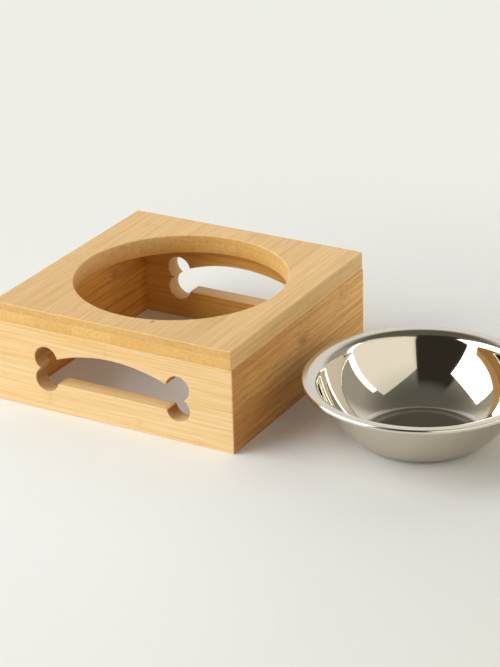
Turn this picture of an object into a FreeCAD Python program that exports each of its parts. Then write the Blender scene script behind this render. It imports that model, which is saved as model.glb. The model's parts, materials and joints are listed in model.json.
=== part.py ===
"""Raised pet bowl stand of bamboo board with its loose steel bowl standing beside it.

Four mitred panels make a square frame. A top board with a round hole lies on the frame, held by hidden
dowels, and a loose spline crosses each mitre. The front and back panels have a bone-shaped hand-hold slot
with an arched upper edge. The bowl is one pressed steel sheet with a rounded rim and a rolled edge.

Lengths are in millimetres. +Z is up and the floor is at zero. The origin is on the floor, under the middle
of the space that the stand and the bowl take up together. The stand is to the left, the bowl to the right.
"""
import FreeCAD
import Part
import Sketcher

import math
import os

# Driving dimensions: name, size in millimetres, and what it measures
DIMENSIONS = [
    ("stand_side", 195.0, "side of the square frame across its panel faces"),
    ("panel_height", 62.5, "height of the four panels"),
    ("panel_thickness", 13.0, "thickness of the four panels"),
    ("corner_round", 1.0, "rounding of the frame's upright outer corners"),
    ("top_thickness", 14.0, "thickness of the top board"),
    ("top_setback", 0.5, "how far the top's edges stand behind the panel faces"),
    ("top_round", 0.8, "rounding of the top board's outer edges"),
    ("hole_margin", 20.0, "distance from the panel faces to the round hole that takes the bowl"),
    ("hole_round", 0.8, "rounding of the hole's upper edge"),
    ("lobe_radius", 9.2, "radius of the four round lobes of the bone slot"),
    ("lobe_spacing", 107.8, "distance across the slot between the lobe centres"),
    ("lobe_height", 24.1, "height of the lower lobe centres above the floor"),
    ("lobe_rise", 15.9, "height of the upper lobe centres above the lower ones"),
    ("sill_height", 22.4, "height of the slot's straight lower edge"),
    ("arch_height", 49.7, "height of the slot's arched upper edge at its middle"),
    ("arch_radius", 123.8, "radius of the slot's arched upper edge"),
    ("spline_thickness", 3.0, "thickness of the splines in the mitres"),
    ("spline_width", 8.0, "width of the splines across the mitres"),
    ("spline_stop", 10.0, "height of the splines' hidden lower ends above the floor"),
    ("dowel_diameter", 6.0, "diameter of the dowels under the top"),
    ("dowel_setback", 23.5, "distance from the ends of a panel to its dowels"),
    ("dowel_in_panel", 9.0, "length of a dowel in its panel"),
    ("dowel_in_top", 7.0, "length of a dowel in the top"),
    ("dowel_chamfer", 0.8, "chamfer of the dowel ends"),
    ("glue_gap", 0.1, "room for glue beside dowels and splines"),
    ("end_gap", 0.5, "room for glue past the ends of dowels and splines"),
    ("bowl_height", 45.0, "height of the bowl's rim above its base"),
    ("rim_overlap", 5.0, "how far the bowl's rim reaches over the top beyond the hole"),
    ("edge_radius", 1.6, "outer radius of the rolled edge's section"),
    ("rim_flat", 2.2, "width of the rim's flat, between its rolled edge and its shoulder"),
    ("shoulder_radius", 7.5, "radius under the turn from wall to rim"),
    ("wall_curve", 70.0, "radius of the bowl wall's outer curve in section"),
    ("base_radius", 40.0, "radius of the bowl's flat base"),
    ("base_curve", 5.0, "outer radius of the turn from base to wall"),
    ("sheet_thickness", 0.8, "thickness of the bowl's steel sheet"),
    ("bowl_gap", 18.5, "gap between the stand's right side and the bowl's edge"),
    ("bowl_forward", 14.0, "how far the bowl's centre lies in front of the stand's"),
]

# Formulas that more than one piece uses
HALF_SIDE = "sizes.stand_side / 2"
PANEL_MIDDLE = "(sizes.stand_side - sizes.panel_thickness) / 2"
HOLE_RADIUS = "(sizes.stand_side / 2 - sizes.hole_margin)"
RIM_RADIUS = f"({HOLE_RADIUS} + sizes.rim_overlap)"
EDGE_CENTRE = f"({RIM_RADIUS} - sizes.edge_radius)"
SHOULDER_CENTRE = f"({EDGE_CENTRE} - sizes.rim_flat)"
SET_WIDTH = f"(sizes.stand_side + sizes.bowl_gap + 2 * {RIM_RADIUS})"
STAND_X = f"{SET_WIDTH} / -2 + sizes.stand_side / 2"
BOWL_X = f"{SET_WIDTH} / 2 - {RIM_RADIUS}"
DOWEL_BORE = "sizes.dowel_diameter + 2 * sizes.glue_gap"
DOWEL_SPACING = "sizes.stand_side - 2 * sizes.dowel_setback"

# The four sides of the frame, with the turn about the upright axis that carries the front to each of them
SIDES = {"front": 0, "right": 90, "back": 180, "left": 270}
SLOTTED_SIDES = ("front", "back")

# The four corners, with the turn that carries the front right corner to each of them
CORNERS = {"front_right": 0, "back_right": 90, "back_left": 180, "front_left": 270}

UP = FreeCAD.Vector(0, 0, 1)
MITRE_ANGLE = 45
FULL_TURN = math.degrees(math.tau)

# A sketch numbers the points of an edge from 1 upwards, and its own axes from -1 downwards
START, END, CENTRE = range(1, 4)
LEVEL_AXIS, UPRIGHT_AXIS = range(-1, -3, -1)
ORIGIN_POINT = (LEVEL_AXIS, START)

doc = FreeCAD.newDocument("bowl_stand")
sheet = doc.addObject("Spreadsheet::Sheet", "sizes")
for row, (alias, millimetres, meaning) in enumerate(DIMENSIONS, start=1):
    sheet.set(f"A{row}", meaning)
    sheet.set(f"B{row}", str(millimetres))
    sheet.setAlias(f"B{row}", alias)
doc.recompute()


def size(formula):
    """Gives a formula's value in millimetres."""
    return float(sheet.evalExpression(formula))


def point(x, y):
    """Gives a point of a sketch."""
    return FreeCAD.Vector(x, y, 0)


def line(start, end):
    """Gives a straight edge of a sketch."""
    return Part.LineSegment(start, end)


def arc(centre, radius, start, end):
    """Gives the arc about a centre that runs anticlockwise from one point's direction to another's."""
    angles = [math.atan2(spot.y - centre.y, spot.x - centre.x) for spot in (start, end)]
    return Part.ArcOfCircle(Part.Circle(centre, UP, radius), *angles)


def new_body(name, turn=0, x=STAND_X, y="0", z="0"):
    """Starts a sub-part, placed by formulas and turned about the upright axis."""
    body = doc.addObject("PartDesign::Body", name)
    body.Label = name
    body.Placement.Rotation = FreeCAD.Rotation(UP, turn)
    for axis, formula in zip("xyz", (x, y, z)):
        body.setExpression(f"Placement.Base.{axis}", formula)
    return body


def new_sketch(body, name, plane="XY_Plane", height="0"):
    """Starts a sketch on one of a sub-part's own planes, raised by a formula."""
    sketch = body.newObject("Sketcher::SketchObject", f"{body.Name}_{name}")
    support = next(item for item in body.Origin.OriginFeatures if item.Role == plane)
    sketch.AttachmentSupport = (support, [""])
    sketch.MapMode = "FlatFace"
    sketch.setExpression("AttachmentOffset.Base.z", height)
    return sketch


def limit(sketch, name, formula, kind, *where):
    """Ties one distance or radius of a sketch to a formula."""
    index = sketch.addConstraint(Sketcher.Constraint(kind, *where, size(formula)))
    sketch.renameConstraint(index, name)
    sketch.setExpression(f"Constraints.{name}", formula)


def relate(sketch, kind, *where):
    """Adds a relation with no size to a sketch."""
    sketch.addConstraint(Sketcher.Constraint(kind, *where))


def close_loop(sketch, edges, smooth=()):
    """Joins edges end to start in order, tangent where the joint's number is in smooth."""
    for number, edge in enumerate(edges):
        kind = "Tangent" if number in smooth else "Coincident"
        relate(sketch, kind, edge, END, edges[(number + 1) % len(edges)], START)


def centred_rectangle(sketch, width, depth):
    """Draws a rectangle about the sketch's origin, with formulas for its two sides."""
    half_width = size(width) / 2
    half_depth = size(depth) / 2
    corners = [point(-half_width, -half_depth), point(half_width, -half_depth),
               point(half_width, half_depth), point(-half_width, half_depth)]
    edges = [sketch.addGeometry(line(corners[i], corners[(i + 1) % 4])) for i in range(4)]
    close_loop(sketch, edges)
    for edge, kind in zip(edges, ("Horizontal", "Vertical", "Horizontal", "Vertical")):
        relate(sketch, kind, edge)
    relate(sketch, "Symmetric", edges[0], START, edges[2], START, *ORIGIN_POINT)
    limit(sketch, "width", width, "DistanceX", edges[0], START, edges[0], END)
    limit(sketch, "depth", depth, "DistanceY", edges[1], START, edges[1], END)


def dowel_circles(sketch, diameter):
    """Draws the two circles of one panel's dowels, with a formula for their diameter."""
    half_spacing = size(DOWEL_SPACING) / 2
    centres = [point(side * half_spacing, -size(PANEL_MIDDLE)) for side in (-1, 1)]
    left, right = [sketch.addGeometry(Part.Circle(spot, UP, size(diameter) / 2)) for spot in centres]
    relate(sketch, "Equal", left, right)
    relate(sketch, "Symmetric", left, CENTRE, right, CENTRE, UPRIGHT_AXIS)
    limit(sketch, "diameter", diameter, "Diameter", left)
    limit(sketch, "spacing", DOWEL_SPACING, "DistanceX", left, CENTRE, right, CENTRE)
    limit(sketch, "middle", PANEL_MIDDLE, "DistanceY", left, CENTRE, *ORIGIN_POINT)


def pad(body, sketch, height):
    """Raises a sketch to a solid."""
    feature = body.newObject("PartDesign::Pad", f"{sketch.Name}_pad")
    feature.Profile = sketch
    feature.setExpression("Length", height)
    doc.recompute()
    return feature


def pocket(body, sketch, depth=None, upwards=False):
    """Cuts a sketch into a solid, to a depth or right through both ways."""
    before = body.Shape.Volume
    feature = body.newObject("PartDesign::Pocket", f"{sketch.Name}_cut")
    feature.Profile = sketch
    feature.Reversed = upwards
    if depth is None:
        feature.Type = "ThroughAll"
        feature.SideType = "Symmetric"
    else:
        feature.setExpression("Length", depth)
    doc.recompute()
    if not body.Shape.Volume < before:
        raise RuntimeError(f"{feature.Name} cut nothing")
    return feature


def edge_names(shape, wanted):
    """Lists the names of the edges whose shape passes a test."""
    return [f"Edge{number}" for number, edge in enumerate(shape.Edges, start=1) if wanted(edge)]


def round_edges(body, name, feature, names, radius):
    """Rounds edges of a solid, with a formula for the radius."""
    finish = body.newObject("PartDesign::Fillet", f"{body.Name}_{name}")
    finish.Base = (feature, names)
    finish.setExpression("Radius", radius)
    doc.recompute()
    return finish


def chamfer_edges(body, name, feature, names, width):
    """Chamfers edges of a solid, with a formula for the width."""
    finish = body.newObject("PartDesign::Chamfer", f"{body.Name}_{name}")
    finish.Base = (feature, names)
    finish.setExpression("Size", width)
    doc.recompute()
    return finish


def mitre_sketch(body, name, width, depth, height):
    """Draws a rectangle across the front right mitre, square to the joint."""
    sketch = new_sketch(body, name, height=height)
    sketch.AttachmentOffset.Rotation = FreeCAD.Rotation(UP, MITRE_ANGLE)
    sketch.setExpression("AttachmentOffset.Base.x", PANEL_MIDDLE)
    sketch.setExpression("AttachmentOffset.Base.y", f"-1 * {PANEL_MIDDLE}")
    centred_rectangle(sketch, width, depth)
    return sketch


def panel_outline(sketch):
    """Draws a mitred panel from above: a long outer face, a short inner one and rounded sharp corners."""
    half = size(HALF_SIDE)
    rounding = size("sizes.corner_round")
    inner = half - size("sizes.panel_thickness")
    reach = half - rounding
    tip = reach + rounding * math.sqrt(0.5)
    right_centre = point(reach, -reach)
    left_centre = point(-reach, -reach)
    outer_face = sketch.addGeometry(line(point(-reach, -half), point(reach, -half)))
    right_arc = sketch.addGeometry(arc(right_centre, rounding, point(reach, -half), point(tip, -tip)))
    right_mitre = sketch.addGeometry(line(point(tip, -tip), point(inner, -inner)))
    inner_face = sketch.addGeometry(line(point(inner, -inner), point(-inner, -inner)))
    left_mitre = sketch.addGeometry(line(point(-inner, -inner), point(-tip, -tip)))
    left_arc = sketch.addGeometry(arc(left_centre, rounding, point(-tip, -tip), point(-reach, -half)))
    edges = [outer_face, right_arc, right_mitre, inner_face, left_mitre, left_arc]
    close_loop(sketch, edges, smooth=(0, 5))
    relate(sketch, "Symmetric", outer_face, START, outer_face, END, UPRIGHT_AXIS)
    relate(sketch, "Symmetric", inner_face, START, inner_face, END, UPRIGHT_AXIS)
    relate(sketch, "Equal", right_arc, left_arc)
    relate(sketch, "PointOnObject", right_arc, CENTRE, right_mitre)
    relate(sketch, "PointOnObject", left_arc, CENTRE, left_mitre)
    limit(sketch, "rounding", "sizes.corner_round", "Radius", right_arc)
    limit(sketch, "out", HALF_SIDE, "DistanceY", outer_face, START, *ORIGIN_POINT)
    limit(sketch, "thickness", "sizes.panel_thickness", "DistanceY", outer_face, END, inner_face, START)
    limit(sketch, "outer_length", "sizes.stand_side - 2 * sizes.corner_round", "DistanceX",
          outer_face, START, outer_face, END)
    limit(sketch, "inner_length", "sizes.stand_side - 2 * sizes.panel_thickness", "DistanceX",
          inner_face, END, inner_face, START)


def bone_outline(sketch):
    """Draws the slot: a straight sill, two round lobes at each end and an arch between the upper lobes."""
    radius = size("sizes.lobe_radius")
    across = size("sizes.lobe_spacing / 2")
    low = size("sizes.lobe_height")
    high = size("sizes.lobe_height + sizes.lobe_rise")
    sill = size("sizes.sill_height")
    arch_radius = size("sizes.arch_radius")
    arch_depth = size("sizes.arch_radius - sizes.arch_height")

    # The sill ends on the lower lobes, the two lobes of one end meet in a notch half-way up between them,
    # and the arch ends where its circle crosses the upper lobe on the slot's side
    sill_end = across - math.sqrt(radius ** 2 - (sill - low) ** 2)
    notch = across + math.sqrt(radius ** 2 - ((high - low) / 2) ** 2)
    middle = (low + high) / 2
    span = math.hypot(across, high + arch_depth)
    along = (arch_radius ** 2 - radius ** 2 + span ** 2) / (2 * span)
    aside = math.sqrt(arch_radius ** 2 - along ** 2)
    crossing_x = (along * across - aside * (high + arch_depth)) / span
    crossing_z = (along * (high + arch_depth) + aside * across) / span - arch_depth

    low_right, low_left = point(across, low), point(-across, low)
    high_right, high_left = point(across, high), point(-across, high)
    sill_right, sill_left = point(sill_end, sill), point(-sill_end, sill)
    notch_right, notch_left = point(notch, middle), point(-notch, middle)
    arch_right, arch_left = point(crossing_x, crossing_z), point(-crossing_x, crossing_z)
    bottom = sketch.addGeometry(line(sill_left, sill_right))
    lobe_a = sketch.addGeometry(arc(low_right, radius, sill_right, notch_right))
    lobe_b = sketch.addGeometry(arc(high_right, radius, notch_right, arch_right))
    arch = sketch.addGeometry(arc(point(0, -arch_depth), arch_radius, arch_right, arch_left))
    lobe_c = sketch.addGeometry(arc(high_left, radius, arch_left, notch_left))
    lobe_d = sketch.addGeometry(arc(low_left, radius, notch_left, sill_left))
    close_loop(sketch, [bottom, lobe_a, lobe_b, arch, lobe_c, lobe_d])
    for lobe in (lobe_b, lobe_c, lobe_d):
        relate(sketch, "Equal", lobe_a, lobe)
    relate(sketch, "Symmetric", lobe_a, CENTRE, lobe_d, CENTRE, UPRIGHT_AXIS)
    relate(sketch, "Symmetric", lobe_b, CENTRE, lobe_c, CENTRE, UPRIGHT_AXIS)
    relate(sketch, "Vertical", lobe_a, CENTRE, lobe_b, CENTRE)
    relate(sketch, "Horizontal", bottom)
    relate(sketch, "PointOnObject", arch, CENTRE, UPRIGHT_AXIS)
    limit(sketch, "lobe_radius", "sizes.lobe_radius", "Radius", lobe_a)
    limit(sketch, "lobe_spacing", "sizes.lobe_spacing", "DistanceX", lobe_d, CENTRE, lobe_a, CENTRE)
    limit(sketch, "lobe_height", "sizes.lobe_height", "DistanceY", *ORIGIN_POINT, lobe_a, CENTRE)
    limit(sketch, "lobe_rise", "sizes.lobe_rise", "DistanceY", lobe_a, CENTRE, lobe_b, CENTRE)
    limit(sketch, "sill_height", "sizes.sill_height", "DistanceY", *ORIGIN_POINT, bottom, START)
    limit(sketch, "arch_radius", "sizes.arch_radius", "Radius", arch)
    limit(sketch, "arch_depth", "sizes.arch_radius - sizes.arch_height", "DistanceY",
          arch, CENTRE, *ORIGIN_POINT)


def frame_panel(side, turn):
    """Makes one panel: mitred ends, a stopped groove in each mitre, two dowel holes and perhaps the slot."""
    body = new_body(f"{side}_panel", turn)
    outline = new_sketch(body, "outline")
    panel_outline(outline)
    pad(body, outline, "sizes.panel_height")
    groove = mitre_sketch(body, "groove", "sizes.spline_width + 2 * sizes.end_gap",
                          "sizes.spline_thickness + 2 * sizes.glue_gap", "sizes.panel_height")
    groove_cut = pocket(body, groove, "sizes.panel_height - sizes.spline_stop + sizes.end_gap")
    mirrored = body.newObject("PartDesign::Mirrored", f"{body.Name}_grooves")
    mirrored.Originals = [groove_cut]
    side_plane = next(item for item in body.Origin.OriginFeatures if item.Role == "YZ_Plane")
    mirrored.MirrorPlane = (side_plane, [""])
    body.Tip = mirrored
    doc.recompute()
    dowels = new_sketch(body, "dowel_holes", height="sizes.panel_height")
    dowel_circles(dowels, DOWEL_BORE)
    pocket(body, dowels, "sizes.dowel_in_panel + sizes.end_gap")
    if side in SLOTTED_SIDES:
        slot = new_sketch(body, "slot", plane="XZ_Plane")
        bone_outline(slot)
        pocket(body, slot)
    return body


def top_board():
    """Makes the square top with its round hole, the blind dowel holes below and rounded edges."""
    body = new_body("top_board", z="sizes.panel_height")
    square = new_sketch(body, "square")
    side = "sizes.stand_side - 2 * sizes.top_setback"
    centred_rectangle(square, side, side)
    pad(body, square, "sizes.top_thickness")
    opening = new_sketch(body, "hole")
    hole_radius = size(HOLE_RADIUS)
    ring = opening.addGeometry(Part.Circle(point(0, 0), UP, hole_radius))
    relate(opening, "Coincident", ring, CENTRE, *ORIGIN_POINT)
    limit(opening, "radius", HOLE_RADIUS, "Radius", ring)
    pocket(body, opening)
    dowels = new_sketch(body, "dowel_holes")
    dowel_circles(dowels, DOWEL_BORE)
    dowel_cut = pocket(body, dowels, "sizes.dowel_in_top + sizes.end_gap", upwards=True)
    around = body.newObject("PartDesign::PolarPattern", "top_board_all_dowel_holes")
    around.Originals = [dowel_cut]
    upright = next(item for item in body.Origin.OriginFeatures if item.Role == "Z_Axis")
    around.Axis = (upright, [""])
    around.Angle = FULL_TURN
    around.Occurrences = len(SIDES)
    body.Tip = around
    doc.recompute()
    thickness = size("sizes.top_thickness")
    tolerance = 0.01

    def outer_edge(edge):
        return edge.Curve.TypeId == "Part::GeomLine" and max(
            abs(edge.CenterOfMass.x), abs(edge.CenterOfMass.y)) > hole_radius

    def upper_hole_edge(edge):
        return edge.Curve.TypeId == "Part::GeomCircle" and (
            abs(edge.Curve.Radius - hole_radius) < tolerance
            and abs(edge.CenterOfMass.z - thickness) < tolerance)

    seat_names = edge_names(around.Shape, upper_hole_edge)
    seat = round_edges(body, "seat_round", around, seat_names, "sizes.hole_round")
    rim_names = edge_names(seat.Shape, outer_edge)
    round_edges(body, "edge_round", seat, rim_names, "sizes.top_round")
    return body


def corner_spline(corner, turn):
    """Makes the loose spline that crosses one mitre, stopped above the floor and covered by the top."""
    body = new_body(f"{corner}_spline", turn)
    section = mitre_sketch(body, "section", "sizes.spline_width", "sizes.spline_thickness",
                           "sizes.spline_stop")
    pad(body, section, "sizes.panel_height - sizes.spline_stop - sizes.end_gap")
    return body


def panel_dowels(side, turn):
    """Makes the two dowels that join one panel to the top, with chamfered ends."""
    body = new_body(f"{side}_dowels", turn)
    section = new_sketch(body, "section", height="sizes.panel_height - sizes.dowel_in_panel")
    dowel_circles(section, "sizes.dowel_diameter")
    pins = pad(body, section, "sizes.dowel_in_panel + sizes.dowel_in_top")
    rims = edge_names(pins.Shape, lambda edge: edge.Curve.TypeId == "Part::GeomCircle")
    chamfer_edges(body, "ends", pins, rims, "sizes.dowel_chamfer")
    return body


def bowl_section(sketch):
    """Draws the bowl's sheet in section: base, base turn, wall, wide shoulder, narrow flat and rolled edge.

    The outer line runs from the middle of the base to the end of the rolled edge, and the inner line comes
    back one sheet thickness away, with every pair of arcs about one centre.
    """
    sheet_thickness = size("sizes.sheet_thickness")
    height = size("sizes.bowl_height")
    base = size("sizes.base_radius")
    base_turn = size("sizes.base_curve")
    wall_turn = size("sizes.wall_curve")
    shoulder_turn = size("sizes.shoulder_radius")
    edge_turn = size("sizes.edge_radius")
    shoulder_x = size(SHOULDER_CENTRE)
    edge_x = size(EDGE_CENTRE)
    edge_z = height - edge_turn
    under_rim = height - sheet_thickness

    base_centre = point(base, base_turn)
    shoulder_centre = point(shoulder_x, under_rim - shoulder_turn)
    edge_centre = point(edge_x, edge_z)

    # The wall's centre is as far from the base turn's centre as their radii differ, and as far from the
    # shoulder's centre as their radii add up to, so that the three arcs run into each other
    to_base = wall_turn - base_turn
    to_shoulder = wall_turn + shoulder_turn
    between = shoulder_centre - base_centre
    along = (to_base ** 2 - to_shoulder ** 2 + between.Length ** 2) / (2 * between.Length)
    aside = math.sqrt(to_base ** 2 - along ** 2)
    forward = between / between.Length
    wall_centre = base_centre + forward * along + point(-forward.y, forward.x) * aside
    base_way = (base_centre - wall_centre).normalize()
    shoulder_way = (shoulder_centre - wall_centre).normalize()

    def joint(centre, way, radius):
        return centre + way * radius

    outer_wall, inner_wall = wall_turn, wall_turn - sheet_thickness
    outer_low = joint(wall_centre, base_way, outer_wall)
    outer_high = joint(wall_centre, shoulder_way, outer_wall)
    inner_low = joint(wall_centre, base_way, inner_wall)
    inner_high = joint(wall_centre, shoulder_way, inner_wall)
    edge_gap = edge_turn - sheet_thickness

    floor_line = sketch.addGeometry(line(point(0, 0), point(base, 0)))
    outer_base = sketch.addGeometry(arc(base_centre, base_turn, point(base, 0), outer_low))
    outer_side = sketch.addGeometry(arc(wall_centre, outer_wall, outer_low, outer_high))
    outer_shoulder = sketch.addGeometry(
        arc(shoulder_centre, shoulder_turn, point(shoulder_x, under_rim), outer_high))
    rim_below = sketch.addGeometry(line(point(shoulder_x, under_rim), point(edge_x, under_rim)))
    edge_inside = sketch.addGeometry(
        arc(edge_centre, edge_gap, point(edge_x, edge_z - edge_gap), point(edge_x, under_rim)))
    edge_end = sketch.addGeometry(line(point(edge_x, edge_z - edge_gap), point(edge_x, edge_z - edge_turn)))
    edge_outside = sketch.addGeometry(
        arc(edge_centre, edge_turn, point(edge_x, edge_z - edge_turn), point(edge_x, height)))
    rim_above = sketch.addGeometry(line(point(edge_x, height), point(shoulder_x, height)))
    inner_shoulder = sketch.addGeometry(
        arc(shoulder_centre, shoulder_turn + sheet_thickness, point(shoulder_x, height), inner_high))
    inner_side = sketch.addGeometry(arc(wall_centre, inner_wall, inner_low, inner_high))
    inner_base = sketch.addGeometry(
        arc(base_centre, base_turn - sheet_thickness, point(base, sheet_thickness), inner_low))
    inside_line = sketch.addGeometry(line(point(base, sheet_thickness), point(0, sheet_thickness)))
    middle_line = sketch.addGeometry(line(point(0, sheet_thickness), point(0, 0)))

    tangent_joints = [
        (floor_line, END, outer_base, START), (outer_base, END, outer_side, START),
        (outer_side, END, outer_shoulder, END), (outer_shoulder, START, rim_below, START),
        (rim_below, END, edge_inside, END), (edge_outside, END, rim_above, START),
        (rim_above, END, inner_shoulder, START), (inner_shoulder, END, inner_side, END),
        (inner_side, START, inner_base, END), (inner_base, START, inside_line, START),
    ]
    for joint_ends in tangent_joints:
        relate(sketch, "Tangent", *joint_ends)
    square_joints = [
        (edge_inside, START, edge_end, START), (edge_end, END, edge_outside, START),
        (inside_line, END, middle_line, START), (middle_line, END, floor_line, START),
    ]
    for joint_ends in square_joints:
        relate(sketch, "Coincident", *joint_ends)
    same_centres = [(outer_base, inner_base), (outer_side, inner_side), (outer_shoulder, inner_shoulder),
                    (edge_inside, edge_outside)]
    for outer, inner in same_centres:
        relate(sketch, "Coincident", outer, CENTRE, inner, CENTRE)
    relate(sketch, "Coincident", floor_line, START, *ORIGIN_POINT)
    relate(sketch, "Horizontal", floor_line)
    relate(sketch, "Horizontal", inside_line)
    relate(sketch, "Vertical", middle_line)
    relate(sketch, "Horizontal", rim_above)
    relate(sketch, "Vertical", edge_end)
    relate(sketch, "PointOnObject", edge_outside, CENTRE, edge_end)
    limit(sketch, "thickness", "sizes.sheet_thickness", "DistanceY", middle_line, END, middle_line, START)
    limit(sketch, "rim_thickness", "sizes.sheet_thickness", "DistanceY", rim_below, END, rim_above, START)
    limit(sketch, "height", "sizes.bowl_height", "DistanceY", *ORIGIN_POINT, rim_above, START)
    limit(sketch, "base_radius", "sizes.base_radius", "DistanceX", floor_line, START, floor_line, END)
    limit(sketch, "base_curve", "sizes.base_curve", "Radius", outer_base)
    limit(sketch, "wall_curve", "sizes.wall_curve", "Radius", outer_side)
    limit(sketch, "shoulder_radius", "sizes.shoulder_radius", "Radius", outer_shoulder)
    limit(sketch, "shoulder_centre", SHOULDER_CENTRE, "DistanceX", *ORIGIN_POINT, outer_shoulder, CENTRE)
    limit(sketch, "edge_radius", "sizes.edge_radius", "Radius", edge_outside)
    limit(sketch, "edge_centre", EDGE_CENTRE, "DistanceX", *ORIGIN_POINT, edge_outside, CENTRE)


def steel_bowl():
    """Makes the bowl by turning its section about its upright axis."""
    body = new_body("bowl", x=BOWL_X, y="-1 * sizes.bowl_forward")
    section = new_sketch(body, "section", plane="XZ_Plane")
    bowl_section(section)
    turned = body.newObject("PartDesign::Revolution", "bowl_turned")
    turned.Profile = section
    turned.ReferenceAxis = (section, ["V_Axis"])
    turned.Angle = FULL_TURN
    doc.recompute()
    return body


pieces = [top_board()]
pieces += [frame_panel(side, turn) for side, turn in SIDES.items()]
pieces += [corner_spline(corner, turn) for corner, turn in CORNERS.items()]
pieces += [panel_dowels(side, turn) for side, turn in SIDES.items()]
pieces.append(steel_bowl())
doc.recompute()

for item in doc.Objects:
    if {"Invalid", "Error"} & set(item.State):
        raise RuntimeError(f"{item.Name} failed: {item.State}")
for sketch in doc.findObjects("Sketcher::SketchObject"):
    if sketch.solve() != 0 or not sketch.FullyConstrained:
        raise RuntimeError(f"{sketch.Name} is not fully set by its sizes")
for piece in pieces:
    if piece.Shape.isNull() or not piece.Shape.isValid():
        raise RuntimeError(f"{piece.Label} has no valid shape")

os.makedirs("parts", exist_ok=True)
for piece in pieces:
    piece.Shape.exportStep(f"parts/{piece.Label}.step")
    print(piece.Label, len(piece.Shape.Solids), "solids", round(piece.Shape.Volume / 1000, 2), "cm3")
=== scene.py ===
"""Looks of a raised bamboo feeder and the loose steel bowl that belongs in it.

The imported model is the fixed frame. Five bamboo boards and the bowl are new surfaces in its place, with eased
edges, laminated strips, fibres and culm nodes on the bamboo and polishing marks on the steel. The hidden
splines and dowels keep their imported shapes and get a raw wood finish. All lengths are in metres.
"""
import json
import logging
import math
from collections.abc import Sequence
from dataclasses import dataclass, replace
from enum import Enum
from functools import partial, reduce

import bpy
import numpy as np
from mathutils import Matrix, Vector


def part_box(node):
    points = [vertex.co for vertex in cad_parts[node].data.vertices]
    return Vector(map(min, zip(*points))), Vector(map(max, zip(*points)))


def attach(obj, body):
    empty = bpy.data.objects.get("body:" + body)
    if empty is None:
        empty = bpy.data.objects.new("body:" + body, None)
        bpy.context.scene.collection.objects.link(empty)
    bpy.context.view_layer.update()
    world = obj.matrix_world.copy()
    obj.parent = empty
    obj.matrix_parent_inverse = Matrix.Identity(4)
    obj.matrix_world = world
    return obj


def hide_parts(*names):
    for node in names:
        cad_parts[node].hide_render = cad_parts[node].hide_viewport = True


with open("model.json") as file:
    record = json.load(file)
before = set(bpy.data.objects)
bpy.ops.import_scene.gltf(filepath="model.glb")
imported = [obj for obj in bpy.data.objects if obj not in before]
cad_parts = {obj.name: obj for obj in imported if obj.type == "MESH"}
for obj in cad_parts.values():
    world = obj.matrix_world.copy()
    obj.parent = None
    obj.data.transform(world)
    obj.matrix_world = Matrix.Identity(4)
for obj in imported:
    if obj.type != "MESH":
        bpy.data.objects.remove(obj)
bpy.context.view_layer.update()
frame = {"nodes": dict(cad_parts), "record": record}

LOG = logging.getLogger("bowl_stand")
MM = 0.001
IMAGE_LONG_SIDE = 667
SHARP_ANGLE = math.radians(30)
WHITE = (1.0, 1.0, 1.0)
TINY = 1e-4

Array = np.ndarray
Inputs = dict[str | int, object]
Material = bpy.types.Material
Node = bpy.types.Node
Pair = tuple[float, float]
Piece = bpy.types.Object
Socket = bpy.types.NodeSocket
Tree = bpy.types.NodeTree
Triple = tuple[float, float, float]
Colour = Triple


def srgb(*levels: int) -> Colour:
    """Gives the linear colour of a display colour, whose red, green and blue go from 0 to 255."""
    shares = np.array(levels) / 255
    return tuple(np.where(shares <= 0.04045, shares / 12.92, ((shares + 0.055) / 1.055) ** 2.4).tolist())


def spaced(stops: Sequence[float], counts: Sequence[int]) -> Array:
    """Divides each stretch between stops into its count of even steps, leaving out the last stop."""
    runs = [np.linspace(a, b, n, endpoint=False) for a, b, n in zip(stops, stops[1:], counts)]
    return np.concatenate(runs)


def eased_edge(radius: float, steps: int) -> tuple[Array, Array, Array]:
    """Works out a rounded edge as a quarter circle from a face to the side beside it.

    At the angle a the surface stands radius * (1 - sin a) inside the side and radius * (1 - cos a) below the
    face, with a running from 0 at the face to a right angle at the side. Wear is sin 2a, most in the middle.

    Args:
        radius: radius of the rounding.
        steps: how many flat steps make up the rounding.

    Returns:
        The distances from the side, the depths below the face and the wear.
    """
    angle = np.linspace(0, math.pi / 2, steps + 1)
    return radius * (1 - np.sin(angle)), radius * (1 - np.cos(angle)), np.sin(2 * angle)


def mirrored_loop(half: Array) -> Array:
    """Closes the right half of an outline, from its axis round to its axis, with its mirror image."""
    return np.concatenate([half, -half[-2:0:-1].conj()])


def plan_points(flat: Array, heights: Array | float, centre: Vector) -> Array:
    """Gives rows of coordinates for heights above places on the floor, x plus y times i from a centre."""
    spread = np.broadcast_to(heights, flat.shape)
    return np.stack([flat.real + centre.x, flat.imag + centre.y, spread], axis=-1).reshape(-1, 3)


def ring_faces(rings: int, points: int, closed: bool) -> Array:
    """Lists the four-sided faces between neighbouring rings of a grid, each ring a closed loop.

    Args:
        rings: how many rings the grid has.
        points: how many points one ring has.
        closed: whether the last ring joins the first.

    Returns:
        One row of four vertex numbers for each face.
    """
    ring = np.arange(rings if closed else rings - 1)[:, None]
    spot = np.arange(points)[None, :]
    next_ring, next_spot = (ring + 1) % rings, (spot + 1) % points
    corners = ((ring, spot), (ring, next_spot), (next_ring, next_spot), (next_ring, spot))
    return np.stack([row * points + column for row, column in corners], axis=-1).reshape(-1, 4)


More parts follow.
